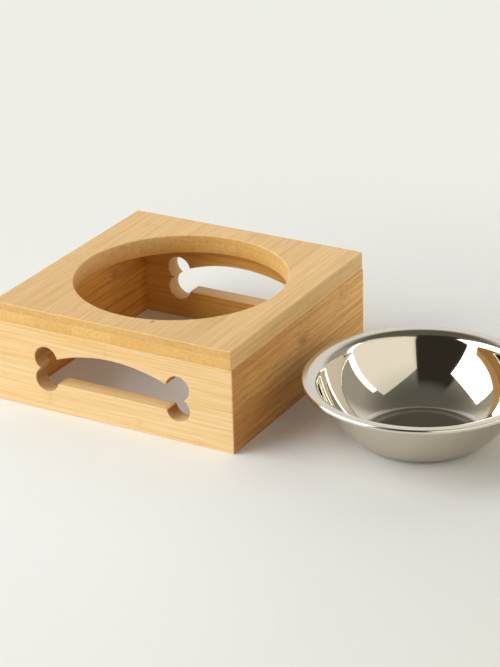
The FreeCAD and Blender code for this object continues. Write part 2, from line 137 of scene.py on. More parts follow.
def add_piece(name: str, points: Array, faces: list[list[int]]) -> Piece:
    """Makes a smooth-shaded object whose place is in its mesh, with creases kept sharp.

    Args:
        name: name of the object and its mesh.
        points: one row of three coordinates for each vertex.
        faces: vertex numbers of each face, anticlockwise from outside.

    Returns:
        The object, linked to the scene.
    """
    mesh = bpy.data.meshes.new(name)
    mesh.from_pydata(points, [], faces)
    mesh.polygons.foreach_set("use_smooth", np.ones(len(faces), dtype=bool))
    mesh.set_sharp_from_angle(angle=SHARP_ANGLE)
    mesh.update()
    piece = bpy.data.objects.new(name, mesh)
    bpy.context.scene.collection.objects.link(piece)
    return piece


def paint_vertices(piece: Piece, name: str, values: Array) -> None:
    """Stores one number for each vertex in a named attribute of a piece."""
    layer = piece.data.attributes.new(name, "FLOAT", "POINT")
    layer.data.foreach_set("value", values.astype(np.float32))


def paint_fibres_cut(piece: Piece, weights: Array) -> None:
    """Stores for each vertex how far the surface there cuts through the fibres, which darkens it.

    The value is the sum of the squares of the surface normal's parts along X and Y, each times its weight.

    Args:
        piece: the board.
        weights: the weights of X and Y, as one row or as a row for each vertex.
    """
    normals = np.empty(3 * len(piece.data.vertices), dtype=np.float32)
    piece.data.vertices.foreach_get("normal", normals)
    flat = normals.reshape(-1, 3)[:, :2]
    paint_vertices(piece, "fibres_cut", (flat ** 2 * weights).sum(axis=1))


class Graph:
    """A node tree with short ways to add nodes and join them."""

    def __init__(self, tree: Tree) -> None:
        """Keeps the tree that the nodes go into."""
        self.tree = tree

    def feed(self, node: Node, inputs: Inputs) -> None:
        """Sets inputs of a node: a socket is linked, and anything else becomes the input's value.

        Args:
            node: the node.
            inputs: a number, colour, vector or socket for each named or numbered input.
        """
        for key, value in inputs.items():
            if isinstance(value, Socket):
                self.tree.links.new(value, node.inputs[key])
            else:
                node.inputs[key].default_value = value

    def add(self, kind: str, inputs: Inputs | None = None, **settings: object) -> Node:
        """Adds a shader node and sets it up.

        Args:
            kind: the end of the node's type name.
            inputs: what its inputs are set to.
            **settings: the node's own properties.

        Returns:
            The new node.
        """
        node = self.tree.nodes.new("ShaderNode" + kind)
        for name, value in settings.items():
            setattr(node, name, value)
        self.feed(node, inputs or {})
        return node

    def use(self, group: Tree, inputs: Inputs) -> dict[str, Socket]:
        """Adds a node group and gives its outputs by name."""
        return dict(self.add("Group", inputs, node_tree=group).outputs.items())

    def math(self, operation: str, *numbers: object) -> Socket:
        """Gives the result of an operation on numbers."""
        return self.add("Math", dict(enumerate(numbers)), operation=operation).outputs[0]

    def times(self, *numbers: object) -> Socket:
        """Gives the product of some numbers."""
        return reduce(partial(self.math, "MULTIPLY"), numbers)

    def plus(self, *numbers: object) -> Socket:
        """Gives the sum of some numbers."""
        return reduce(partial(self.math, "ADD"), numbers)

    def minus(self, first: object, second: object) -> Socket:
        """Gives the difference of two numbers."""
        return self.math("SUBTRACT", first, second)

    def over(self, first: object, second: object) -> Socket:
        """Gives the quotient of two numbers."""
        return self.math("DIVIDE", first, second)

    def weighted(self, *terms: tuple[Socket, float]) -> Socket:
        """Gives the sum of some numbers, each times its weight."""
        return self.plus(*(self.times(number, weight) for number, weight in terms))

    def bell(self, *distances: Socket) -> Socket:
        """Gives a bell curve of distances: e to the power of minus the sum of their squares."""
        squares = self.plus(*(self.times(distance, distance) for distance in distances))
        return self.math("EXPONENT", self.times(squares, -1.0))

    def vector(self, operation: str, first: object, second: object) -> Socket:
        """Gives the vector that comes from an operation on two vectors."""
        return self.add("VectorMath", {0: first, 1: second}, operation=operation).outputs["Vector"]

    def length(self, vector: Socket) -> Socket:
        """Gives the length of a vector."""
        return self.add("VectorMath", {0: vector}, operation="LENGTH").outputs["Value"]

    def split(self, vector: Socket) -> tuple[Socket, ...]:
        """Gives the three coordinates of a vector."""
        return tuple(self.add("SeparateXYZ", {0: vector}).outputs)

    def join(self, *coordinates: object) -> Socket:
        """Gives the vector with these three coordinates."""
        return self.add("CombineXYZ", dict(enumerate(coordinates))).outputs[0]

    def stretch(self, coordinates: Sequence[object], scales: Sequence[float]) -> Socket:
        """Gives the vector of three coordinates, each times its scale."""
        return self.vector("MULTIPLY", self.join(*coordinates), scales)

    def step(self, value: Socket, low: float, high: float) -> Socket:
        """Gives a smooth rise from 0 to 1 as a value goes from low to high."""
        limits = {"Value": value, "From Min": low, "From Max": high}
        return self.add("MapRange", limits, interpolation_type="SMOOTHSTEP").outputs[0]

    def scale(self, value: Socket, low: object, high: object) -> Socket:
        """Gives a number between low and high for a value between 0 and 1."""
        return self.add("MapRange", {"Value": value, "To Min": low, "To Max": high}).outputs[0]

    def mix(self, share: object, first: object, second: object, blend_type: str = "MIX") -> Socket:
        """Gives a blend of two colours, which are the node's inputs 6 and 7 and its output 2."""
        ends = [colour if isinstance(colour, Socket) else (*colour, 1.0) for colour in (first, second)]
        return self.add("Mix", {0: share, 6: ends[0], 7: ends[1]}, data_type="RGBA",
                        blend_type=blend_type).outputs[2]

    def noise(self, place: Socket, detail: float, roughness: float = 0.5) -> Socket:
        """Gives smooth noise between 0 and 1, with its scale already in the place."""
        inputs = {"Vector": place, "Scale": 1.0, "Detail": detail, "Roughness": roughness}
        return self.add("TexNoise", inputs, noise_dimensions="3D").outputs["Fac"]

    def sway(self, place: Socket, detail: float) -> Socket:
        """Gives smooth noise to both sides of 0, between -0.5 and 0.5."""
        return self.minus(self.noise(place, detail), 0.5)

    def attribute(self, name: str) -> Socket:
        """Gives a number that is painted on the piece."""
        return self.add("Attribute", attribute_name=name).outputs["Fac"]

    def place(self, centre: Vector) -> Socket:
        """Gives the place on the piece, measured from a point of the frame."""
        spot = self.add("TexCoord").outputs["Object"]
        return self.add("Mapping", {"Vector": spot, "Location": -centre}).outputs["Vector"]

    def relief(self, height: Socket, distance: float, strength: float) -> Socket:
        """Gives the surface normal on a fine relief."""
        inputs = {"Height": height, "Distance": distance, "Strength": strength}
        return self.add("Bump", inputs).outputs["Normal"]


def new_group(name: str, inputs: Sequence[str], outputs: Sequence[str]) -> tuple[Graph, list[Socket], Node]:
    """Starts a node group. A socket named Chance holds a colour, and all others hold numbers.

    Args:
        name: name of the group.
        inputs: names of its inputs.
        outputs: names of its outputs.

    Returns:
        The group's graph, its inputs in their order and its output node.
    """
    tree = bpy.data.node_groups.new(name, "ShaderNodeTree")
    for way, labels in (("INPUT", inputs), ("OUTPUT", outputs)):
        for label in labels:
            kind = "NodeSocketColor" if label == "Chance" else "NodeSocketFloat"
            tree.interface.new_socket(label, in_out=way, socket_type=kind)
    entry = tree.nodes.new("NodeGroupInput")
    return Graph(tree), [entry.outputs[label] for label in inputs], tree.nodes.new("NodeGroupOutput")


def new_material(name: str) -> tuple[Material, Graph, Node]:
    """Starts a material.

    Args:
        name: name of the material.

    Returns:
        The material, its graph and its shader.
    """
    made = bpy.data.materials.new(name)
    made.use_nodes = True
    return made, Graph(made.node_tree), made.node_tree.nodes["Principled BSDF"]


class Grain(Enum):
    """Which way the fibres of a board run, and which way its strips lie side by side."""

    TOP = "fibres front to back, strips side by side across the width"
    SLOTTED = "fibres left to right, strips one above the other"
    PLAIN = "fibres front to back, strips one above the other"


@dataclass(frozen=True)
class StripPattern:
    """How bamboo strips are glued up to a board of two plies, and how wide its seams are."""

    name: str = "bamboo_strips"
    seam_width: float = 0.22 * MM

    def group(self) -> Tree:
        """Builds the group that tells which strip a point is in.

        The outer ply begins where the place through the board passes the glue line. The place across the
        fibres, from the ply's first seam and divided by its strip width, gives a whole number for each strip.
        A random colour belongs to each strip of each ply.

        Returns:
            The node group.
        """
        labels = ("Across", "Through", "Glue Line", "Width", "First Seam", "Inner Width", "Inner Seam",
                  "Seed")
        graph, given, leave = new_group(self.name, labels, ("Chance", "Seam", "Outer"))
        across, through, glue_line, outer_width, outer_seam, inner_width, inner_seam, seed = given
        depth = graph.math("ABSOLUTE", through)
        outer = graph.math("GREATER_THAN", depth, glue_line)
        width = graph.scale(outer, inner_width, outer_width)
        first = graph.scale(outer, inner_seam, outer_seam)
        counted = graph.over(graph.minus(across, first), width)
        side = graph.math("GREATER_THAN", through, 0.0)
        which = graph.join(graph.math("FLOOR", counted), graph.plus(side, side, outer), seed)
        chance = graph.add("TexWhiteNoise", {"Vector": which}, noise_dimensions="3D").outputs["Color"]
        within = graph.math("ABSOLUTE", graph.minus(graph.math("FRACT", counted), 0.5))
        across_gap = graph.times(graph.minus(0.5, within), width)
        ply_gap = graph.math("ABSOLUTE", graph.minus(depth, glue_line))
        nearest = graph.math("MINIMUM", across_gap, ply_gap)
        seam = graph.minus(1.0, graph.step(nearest, 0.0, self.seam_width))
        graph.feed(leave, {"Chance": chance, "Seam": seam, "Outer": outer})
        return graph.tree


@dataclass(frozen=True)
class KnotPattern:
    """How the fibres curl and darken round one culm node."""

    name: str = "bamboo_knot"
    stretch: float = 1.7
    sway_stretch: float = 1.6
    curl: float = 1.6
    eye_power: float = 5.0

    def group(self) -> Tree:
        """Builds the group that pushes the fibres aside round a place.

        Distances from the place are divided by the knot's size, and by its stretch along the fibres. A bell
        curve of that distance fades a slow noise, which is the push. A narrower bell curve is the dark eye.

        Returns:
            The node group.
        """
        labels = ("Across", "Along", "Across Place", "Along Place", "Size")
        graph, given, leave = new_group(self.name, labels, ("Push", "Eye"))
        across, along, across_place, along_place, size = given
        aside = graph.over(graph.minus(across, across_place), size)
        onward = graph.over(graph.minus(along, along_place), graph.times(size, self.stretch))
        bell = graph.bell(aside, onward)
        slow = graph.sway(graph.stretch((aside, onward, 0.0), (1.0, self.sway_stretch, 0.0)), detail=1.0)
        push = graph.times(slow, bell, size, self.curl)
        graph.feed(leave, {"Push": push, "Eye": graph.math("POWER", bell, self.eye_power)})
        return graph.tree


@dataclass(frozen=True)
class FibrePattern:
    """The fibres, pores and culm node lines of split bamboo: scales, lengths, shares and limits."""

    name: str = "bamboo_fibres"
    broad: float = 420.0
    fine: float = 1500.0
    pore: float = 2300.0
    along: float = 7.0
    roughness: float = 0.55
    broad_share: float = 0.6
    fine_share: float = 0.4
    tone_range: Pair = (0.3, 0.7)
    pore_range: Pair = (0.56, 0.74)
    strip_shift: float = 90.0
    node_spread: float = 0.34
    node_length: float = 5.0 * MM
    node_swirl: float = 1.1 * MM
    node_line: float = 0.8 * MM
    line_share: float = 0.6
    bell_share: float = 0.3
    wave_scales: Triple = (160.0, 50.0, 160.0)
    swirl_scales: Triple = (330.0, 330.0, 40.0)

    def group(self) -> Tree:
        """Builds the group that gives the fibre tone, the pores and the culm node marks of a strip.

        The noise is stretched along the fibres, so it makes streaks on long faces and dots on end grain. Each
        strip has one node at a random place along it, where a bell curve pushes the fibres aside.

        Returns:
            The node group.
        """
        labels = ("Across", "Along", "Through", "Chance")
        graph, (across, along, through, chance), leave = new_group(
            self.name, labels, ("Streaks", "Pores", "Node"))
        first, second, third = graph.split(chance)
        node_place = graph.times(graph.minus(second, 0.5), self.node_spread)
        wave = graph.sway(graph.stretch((across, third, through), self.wave_scales), detail=2.0)
        bend = graph.times(wave, 2 * self.node_length)
        from_node = graph.plus(graph.minus(along, node_place), bend)
        bell = graph.bell(graph.over(from_node, self.node_length))
        swirl = graph.sway(graph.stretch((across, along, third), self.swirl_scales), detail=1.0)
        pushed = graph.plus(graph.times(swirl, 2 * self.node_swirl, bell), across)
        shift = graph.times(first, self.strip_shift)
        shifts = graph.join(shift, shift, 0.0)

        def streaks(scale: float, draw: float, detail: float) -> Socket:
            """Gives noise that is drawn out along the fibres."""
            place = graph.stretch((pushed, along, through), (scale, draw * self.along, scale))
            return graph.noise(graph.vector("ADD", place, shifts), detail, self.roughness)

        broad = streaks(self.broad, draw=1, detail=3.0)
        fine = streaks(self.fine, draw=3, detail=2.0)
        pores = streaks(self.pore, draw=9, detail=1.0)
        tone = graph.weighted((broad, self.broad_share), (fine, self.fine_share))
        line = graph.bell(graph.over(from_node, self.node_line))
        graph.feed(leave, {
            "Streaks": graph.step(tone, *self.tone_range),
            "Pores": graph.step(pores, *self.pore_range),
            "Node": graph.weighted((line, self.line_share), (bell, self.bell_share))})
        return graph.tree


@dataclass(frozen=True)
class BambooPatterns:
    """The node groups that all bamboo finishes share."""

    strips: Tree
    fibres: Tree
    knot: Tree


@dataclass(frozen=True)
class Knot:
    """The place of one culm node on a board, from the point where its strips are counted."""

    across: float
    along: float
    size: float
    darkness: float


@dataclass(frozen=True)
class BambooFinish:
    """Laminated bamboo with a clear satin oil: its tones, strips, marks and surface."""

    name: str
    patterns: BambooPatterns
    grain: Grain
    pale: Colour = srgb(234, 206, 157)
    warm: Colour = srgb(219, 183, 126)
    deep: Colour = srgb(150, 98, 48)
    edge: Colour = srgb(250, 222, 172)
    # Tints the cut end grain; on the front panel its deep value is also painted shade on the slot's side walls.
    end_grain_and_shade_tint: Colour = (1.0, 0.96, 0.72)
    # Multiplies the colour where the inside attribute is painted: painted shade inside the stand, under the top
    # and down its hole.
    inside_shade_tint: Colour = (0.82, 0.7, 0.52)
    strip_width: float = 26.0 * MM
    first_seam: float = 5.0 * MM
    inner_width: float = 26.0 * MM
    inner_seam: float = 18.0 * MM
    glue_line: float = 0.0
    strip_contrast: float = 0.35
    pore_mark: float = 0.22
    node_mark: float = 0.28
    seam_mark: float = 0.3
    # Painted shade: how much darker a board grows towards its front end, and over what reach.
    near_end_shade: float = 0.0
    near_end_shade_reach: float = 0.1
    outer_cut_mark: float = 0.0
    arris_mark: float = 0.2
    roughness: float = 0.46
    roughness_swing: Pair = (0.08, -0.04)
    sheen: float = 0.4
    relief: float = 0.04 * MM
    relief_strength: float = 0.5
    seed: float = 1.0
    knots: tuple[Knot, ...] = ()

    def places(self, graph: Graph, centre: Vector) -> tuple[Socket, Socket, Socket]:
        """Gives the places across the fibres, along them and through the board, from a point of the frame."""
        x, y, z = graph.split(graph.place(centre))
        return {Grain.TOP: (x, y, z), Grain.SLOTTED: (z, x, y), Grain.PLAIN: (z, y, x)}[self.grain]

    def material(self, centre: Vector) -> Material:
        """Makes the finish for a board.

        Args:
            centre: the point of the frame from which the strips are counted.

        Returns:
            The material.
        """
        made, graph, shader = new_material(self.name)
        across, along, through = self.places(graph, centre)
        strip = graph.use(self.patterns.strips, {
            "Across": across, "Through": through, "Glue Line": self.glue_line, "Width": self.strip_width,
            "First Seam": self.first_seam, "Inner Width": self.inner_width, "Inner Seam": self.inner_seam,
            "Seed": self.seed})
        # Painted shade: the board darkens towards its front end.
        ends = {"Value": along, "From Min": self.near_end_shade_reach, "From Max": -self.near_end_shade_reach}
        marks = [(graph.add("MapRange", ends).outputs[0], self.near_end_shade)]
        pushes = [across]
        for knot in self.knots:
            curl = graph.use(self.patterns.knot, {
                "Across": across, "Along": along, "Across Place": knot.across, "Along Place": knot.along,
                "Size": knot.size})
            pushes.append(curl["Push"])
            marks.append((curl["Eye"], knot.darkness))
        fibre = graph.use(self.patterns.fibres, {
            "Across": graph.plus(*pushes), "Along": along, "Through": through, "Chance": strip["Chance"]})
        fibres_cut = graph.attribute("fibres_cut")
        outer_cut = graph.times(fibres_cut, strip["Outer"])
        # The dark marks: knot eyes, pores, culm node lines, seams and the outer ply's cut, which are the
        # bamboo's own, with the painted shade towards the front end.
        dark = graph.weighted(
            *marks, (fibre["Pores"], self.pore_mark), (fibre["Node"], self.node_mark),
            (strip["Seam"], self.seam_mark), (outer_cut, self.outer_cut_mark))
        chance = graph.split(strip["Chance"])[0]
        strip_tone = graph.times(graph.minus(chance, 0.5), self.strip_contrast)
        body = graph.mix(graph.plus(fibre["Streaks"], strip_tone), self.warm, self.pale)
        # Painted shade: darker, deeper colour on the panels' inner faces, the top's underside and its hole's
        # wall.
        body = graph.mix(graph.attribute("inside"), body, self.inside_shade_tint, "MULTIPLY")
        cut = graph.mix(fibres_cut, graph.mix(dark, body, self.deep), self.end_grain_and_shade_tint, "MULTIPLY")
        worn = graph.times(graph.attribute("arris"), self.arris_mark)
        low, high = (self.roughness + swing for swing in self.roughness_swing)
        height = graph.minus(fibre["Streaks"], dark)
        graph.feed(shader, {
            "Base Color": graph.mix(worn, cut, self.edge),
            "Roughness": graph.scale(fibre["Streaks"], low, high),
            "Normal": graph.relief(height, self.relief, self.relief_strength),
            "Specular IOR Level": self.sheen})
        return made


@dataclass(frozen=True)
class SteelFinish:
    """Pressed stainless steel: a mirror where it is polished and a satin sheen elsewhere."""

    name: str = "bowl_steel"
    colour: Colour = (0.72, 0.69, 0.62)
    dull: Colour = (0.6, 0.545, 0.46)
    dull_limit: float = 0.3
    mirror: float = 0.045
    satin: float = 0.24
    ring_scale: float = 2400.0
    ring_share: float = 0.6
    cloud_scale: float = 40.0
    cloud_share: float = 0.4
    uneven: Pair = (0.75, 1.25)
    relief: float = 0.004 * MM
    relief_strength: float = 0.3

    def material(self, centre: Vector) -> Material:
        """Makes the finish for a bowl that was polished while it turned about its upright axis.

        Fine rings come from noise on the distance from the axis and on the height.

        Args:
            centre: a point on the bowl's axis.

        Returns:
            The material.
        """
        made, graph, shader = new_material(self.name)
        place = graph.place(centre)
        x, y, z = graph.split(place)
        radius = graph.length(graph.join(x, y, 0.0))
        rings = graph.noise(graph.stretch((radius, z, 0.0), (self.ring_scale,) * 3), detail=2.0)
        cloud = graph.noise(graph.vector("MULTIPLY", place, (self.cloud_scale,) * 3), detail=2.0)
        mottle = graph.weighted((rings, self.ring_share), (cloud, self.cloud_share))
        polish = graph.attribute("polish")
        smooth = graph.scale(polish, self.satin, self.mirror)
        graph.feed(shader, {
            "Base Color": graph.mix(graph.step(polish, 0.0, self.dull_limit), self.dull, self.colour),
            "Roughness": graph.times(smooth, graph.scale(mottle, *self.uneven)),
            "Normal": graph.relief(rings, self.relief, self.relief_strength),
            "Metallic": 1.0})
        return made


@dataclass
class TopBoard:
    """The square top with its round hole and eased edges."""

    centre: Vector
    half_side: float
    low: float
    high: float
    hole_radius: float
    corner_round: float = 1.0 * MM
    edge_round: float = 0.8 * MM
    lower_round: float = 0.3 * MM
    hold: float = 0.4 * MM
    edge_cut: Pair = (0.15, 1.0)
    hole_cut: Pair = (0.0, 1.0)
    # Painted shade on the hole's wall and the underside: its level, and how much it swings from left to right.
    hole_shade: float = 0.32
    shade_swing: float = 0.5
    steps_per_side: int = 56
    round_steps: int = 5
    lower_steps: int = 2

    def rings(self) -> dict[str, Array]:
        """Lists the rings of the board's skin, once round its section.

        Returns:
            For each ring its height, its distance from the hole's wall, its distance inside the outer edge,
            how far its square core is pulled in, its share of the way from the hole to the edge, its wear,
            and whether it is below, in the hole or underneath.
        """
        edge = list(zip(*eased_edge(self.edge_round, self.round_steps)))
        small = list(zip(*eased_edge(self.lower_round, self.lower_steps)))
        flat_hole = self.edge_round + self.hold
        rows = [
            *((self.low + depth, inset, 0, 0, 0, wear, 1) for inset, depth, wear in small),
            *((self.high - depth, inset, 0, 0, 0, wear, 0) for inset, depth, wear in edge[::-1]),
            (self.high, flat_hole, 0, 0, 0, 0, 0),
            (self.high, flat_hole, self.edge_round, self.hold, 1, 0, 0),
            *((self.high - depth, 0, inset, 0, 1, wear, 0) for inset, depth, wear in edge),
            *((self.low + depth, 0, inset, 0, 1, wear, 0) for inset, depth, wear in small[::-1]),
            (self.low, 0, self.lower_round, self.hold, 1, 0, 1),
            (self.low, self.lower_round + self.hold, 0, 0, 0, 0, 1),
        ]
        names = ("height", "from_hole", "from_edge", "pull", "share", "wear", "below")
        return dict(zip(names, np.array(rows, dtype=float).T))

    def build(self) -> Piece:
        """Makes the board as a closed skin of rings.

        The outer loop is a core square grown by the upright corners' radius, so that an inset makes that
        radius smaller and leaves the core. The inner loop is a circle with one point towards each outer
        point. The hole's wall, darker towards its lower edge, and the underside get painted shade, most on
        the left and least on the right.

        Returns:
            The board.
        """
        core = self.half_side - self.corner_round
        side = core * np.tan(np.linspace(-math.pi / 4, math.pi / 4, self.steps_per_side + 1))
        turn = np.linspace(0, math.pi / 2, self.round_steps + 1)[1:-1]
        quarter = core + 1j * np.concatenate([side, np.full_like(turn, core)])
        normal = np.exp(1j * np.concatenate([np.zeros_like(side), turn]))
        core_loop, normal_loop = (np.outer([1, 1j, -1, -1j], part).ravel() for part in (quarter, normal))
        outline = core_loop + self.corner_round * normal_loop
        towards = outline / np.abs(outline)
        ring = {name: values[:, None] for name, values in self.rings().items()}
        rounding = self.corner_round - ring["from_edge"]
        outer = core_loop * (1 - ring["pull"] / core) + rounding * normal_loop
        inner = (self.hole_radius + ring["from_hole"]) * towards
        flat = inner + ring["share"] * (outer - inner)
        faces = ring_faces(len(flat), flat.shape[1], closed=True)
        points = plan_points(flat, ring["height"], self.centre)
        piece = add_piece("top_board_skin", points, faces[:, ::-1].tolist())
        paint_vertices(piece, "arris", np.broadcast_to(ring["wear"], flat.shape).ravel())
        # Painted shade: the inside attribute darkens the hole's wall towards its lower edge, and the underside.
        shade = self.hole_shade - self.shade_swing * towards.real
        paint_vertices(piece, "inside", (ring["below"] * shade).ravel())
        outer_edge = np.broadcast_to(ring["share"], flat.shape).reshape(-1, 1)
        paint_fibres_cut(piece, np.where(outer_edge, self.edge_cut, self.hole_cut))
        return piece

    def dress(self, piece: Piece, finish: BambooFinish) -> None:
        """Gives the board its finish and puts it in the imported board's place.

        Args:
            piece: the board.
            finish: its bamboo.
        """
        piece.data.materials.append(finish.material(Vector((self.centre.x, self.centre.y, self.low))))
        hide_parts("top_board")
        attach(piece, "stand")


@dataclass
class BoneSlot:
    """The hand-hold: a straight sill, two round lobes at each end and an arch between them.

    Its outlines are complex numbers, the place along the panel plus the height times i.
    """

    lobe_radius: float = 9.2 * MM
    lobe_reach: float = 53.9 * MM
    lobe_height: float = 24.1 * MM
    lobe_rise: float = 15.9 * MM
    sill_height: float = 22.4 * MM
    arch_height: float = 49.7 * MM
    arch_radius: float = 123.8 * MM
    fan_angle: float = math.radians(30)
    sill_steps: int = 12
    inner_steps: int = 10
    corner_steps: int = 8
    notch_steps: int = 14
    arch_steps: int = 26

    def half(self, grow: float) -> Array:
        """Works out the right half of the outline, from the middle of the sill to the crown of the arch.

        An outline that is grown on all sides has the same centres, with the lobes' and the arch's radii
        larger and the sill lower by the growth. The arch ends where its circle crosses the upper lobe.

        Args:
            grow: how far the outline lies outside the slot's own.

        Returns:
            The points.
        """
        radius, arch = self.lobe_radius + grow, self.arch_radius + grow
        sill = self.sill_height - grow
        low = complex(self.lobe_reach, self.lobe_height)
        high = low + 1j * self.lobe_rise
        arch_centre = 1j * (self.arch_height - self.arch_radius)
        sill_angle = math.pi + math.asin((self.lobe_height - sill) / radius)
        notch_angle = math.asin(self.lobe_rise / 2 / radius)
        span = abs(high - arch_centre)
        lean = math.acos((radius ** 2 + span ** 2 - arch ** 2) / (2 * radius * span))
        crossing_angle = float(np.angle(arch_centre - high)) + math.tau - lean
        low_angles = spaced((sill_angle, 1.5 * math.pi, math.tau - self.fan_angle, math.tau + notch_angle),
                            (self.inner_steps, self.corner_steps, self.notch_steps))
        high_angles = spaced((-notch_angle, self.fan_angle, math.pi / 2, crossing_angle),
                             (self.notch_steps, self.corner_steps, self.inner_steps))
        low_lobe = low + radius * np.exp(1j * low_angles)
        high_lobe = high + radius * np.exp(1j * high_angles)
        sill_line = spaced((0.0, low_lobe[0].real), (self.sill_steps,)) + 1j * sill
        crossing = high.real + radius * math.cos(crossing_angle)
        arch_x = np.linspace(crossing, 0.0, self.arch_steps + 1)
        arch_line = arch_centre + arch_x + 1j * np.sqrt(arch ** 2 - arch_x ** 2)
        return np.concatenate([sill_line, low_lobe, high_lobe, arch_line])

    def outline(self, grow: float) -> Array:
        """Gives the whole outline, anticlockwise from the middle of the sill."""
        return mirrored_loop(self.half(grow))

    def frame_loop(self, reach: float, height: float) -> Array:
        """Works out the points of a panel's rectangle that belong to the points of the outline.

        Below the sill and above the arch each point is straight under or over its partner. Beside the outer
        halves of the lobes the points go evenly round the rectangle's corners and meet at the notch's height.

        Args:
            reach: half the panel's length.
            height: the panel's height.

        Returns:
            The points.
        """
        slot_x = self.half(0.0).real
        below = slot_x[:self.sill_steps + self.inner_steps]
        above = slot_x[-(self.inner_steps + self.arch_steps + 1):]
        notch = self.lobe_height + self.lobe_rise / 2
        out = spaced((self.lobe_reach, reach), (self.corner_steps,))
        rise = spaced((0.0, notch, height), (self.notch_steps, self.notch_steps))
        back = spaced((reach, self.lobe_reach), (self.corner_steps,))
        corners = [below, out, reach + 1j * rise, back + 1j * height, above + 1j * height]
        return mirrored_loop(np.concatenate(corners))


@dataclass
class FramePanel:
    """One mitred panel of the frame, drawn as the front one and turned to its side."""

    side: str
    turn: int
    centre: Vector
    half_side: float
    thickness: float
    height: float
    slot: BoneSlot | None
    corner_round: float = 1.0 * MM
    edge_round: float = 0.4 * MM
    slot_round: float = 0.6 * MM
    hold: float = 0.3 * MM
    round_steps: int = 4

    def depths(self) -> tuple[Array, Array]:
        """Lists the rings on the panel's narrow sides, finest at its rounded corners.

        The first and the last ring are doubled, to hold the faces flat up to their edges.

        Returns:
            The rings' depths behind the outer face, and their wear.
        """
        turn = np.linspace(0, math.pi / 4, self.round_steps + 1)
        corner = self.corner_round * (1 - np.cos(turn))
        _, inner, inner_wear = eased_edge(self.edge_round, self.round_steps)
        depth = np.concatenate([corner, [self.edge_round], self.thickness - inner[::-1]])
        wear = np.concatenate([np.sin(2 * turn), [0.0], inner_wear[::-1]])
        return np.pad(depth, 1, mode="edge"), np.pad(wear, 1)

    def reach(self, depth: Array) -> Array:
        """Gives half the panel's length at some depths: a rounded corner and then the mitre."""
        bend = np.sqrt(np.clip(self.corner_round ** 2 - (self.corner_round - depth) ** 2, 0, None))
        return np.minimum(self.half_side - self.corner_round + bend, self.half_side - depth)

    def inset(self, depth: Array) -> Array:
        """Gives how far the eased long edges stand in at some depths."""
        from_face = np.clip(self.edge_round - np.minimum(depth, self.thickness - depth), 0, None)
        return self.edge_round - np.sqrt(self.edge_round ** 2 - from_face ** 2)

    def frame_rings(self, loop: Array) -> tuple[Array, Array]:
        """Carries a rectangle round the panel's narrow sides, from its outer to its inner face.

        Each point keeps its share of the length beyond the straight middle and its share of the height.

        Args:
            loop: the rectangle's points at the outer face's own length.

        Returns:
            The points of all rings, along the panel, depth and up, and the rings' wear.
        """
        depth, wear = self.depths()
        reach, inset = self.reach(depth), self.inset(depth)
        reach[[0, -1]] -= self.hold
        inset[[0, -1]] += self.hold
        depth, reach, inset = depth[:, None], reach[:, None], inset[:, None]
        longest = np.abs(loop.real).max()
        middle = self.slot.lobe_reach if self.slot else 0.0
        beyond = np.clip((np.abs(loop.real) - middle) / (longest - middle), 0, 1)
        x = loop.real + np.sign(loop.real) * beyond * (reach - longest)
        z = inset + loop.imag / self.height * (self.height - 2 * inset)
        return np.stack([x, np.broadcast_to(depth, x.shape), z], axis=-1), wear

    def slot_rings(self) -> tuple[Array, Array]:
        """Carries the slot's outline from the inner face through the wall to the outer face.

        Returns:
            The points of all rings, along the panel, depth and up, and the rings' wear.
        """
        grow, depth, wear = eased_edge(self.slot_round, self.round_steps)
        flat = self.slot_round + self.hold
        grows = np.concatenate([[flat], grow, grow[::-1], [flat]])
        depths = np.concatenate([[self.thickness], self.thickness - depth, depth[::-1], [0.0]])
        outlines = np.stack([self.slot.outline(float(grow)) for grow in grows])
        across = np.broadcast_to(depths[:, None], outlines.shape)
        points = np.stack([outlines.real, across, outlines.imag], axis=-1)
        return points, np.pad(np.concatenate([wear, wear[::-1]]), 1)

    def place(self, rings: Array) -> Array:
        """Turns points, given along the panel, in depth and up, to the panel's side of the stand."""
        flat = (rings[..., 0] + 1j * (rings[..., 1] - self.half_side)) * 1j ** self.turn
        return plan_points(flat, rings[..., 2], self.centre)

    def build(self) -> Piece:
        """Makes the panel: rings right round its section if it has a slot, or else rings closed by two faces.

        Returns:
            The panel.
        """
        outer_reach = self.half_side - self.corner_round
        if self.slot:
            frame_rings, frame_wear = self.frame_rings(self.slot.frame_loop(outer_reach, self.height))
            slot_rings, slot_wear = self.slot_rings()
            rings = np.concatenate([frame_rings, slot_rings])
            wear = np.concatenate([frame_wear, slot_wear])
            faces = ring_faces(len(rings), rings.shape[1], closed=True).tolist()
        else:
            corners = outer_reach * np.array([-1, 1, 1, -1]) + 1j * self.height * np.array([0, 0, 1, 1])
            rings, wear = self.frame_rings(corners)
            count = len(corners)
            faces = ring_faces(len(rings), count, closed=False).tolist()
            faces.append(list(range(count))[::-1])
            faces.append(list(range((len(rings) - 1) * count, len(rings) * count)))
        piece = add_piece(f"{self.side}_panel_skin", self.place(rings), faces)
        paint_vertices(piece, "arris", np.repeat(wear, rings.shape[1]))
        # Painted shade: the inner face, inside the stand, takes the finish's darker inside tint.
        paint_vertices(piece, "inside", np.isclose(rings[..., 1], self.thickness).ravel())
        paint_fibres_cut(piece, np.array([1, 0] if self.slot else [0, 1]))
        return piece

    def dress(self, piece: Piece, finish: BambooFinish) -> None:
        """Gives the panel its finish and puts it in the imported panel's place.

        Args:
            piece: the panel.
            finish: its bamboo.
        """
        piece.data.materials.append(finish.material(Vector((self.centre.x, self.centre.y, 0.0))))
        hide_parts(f"{self.side}_panel")
        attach(piece, "stand")


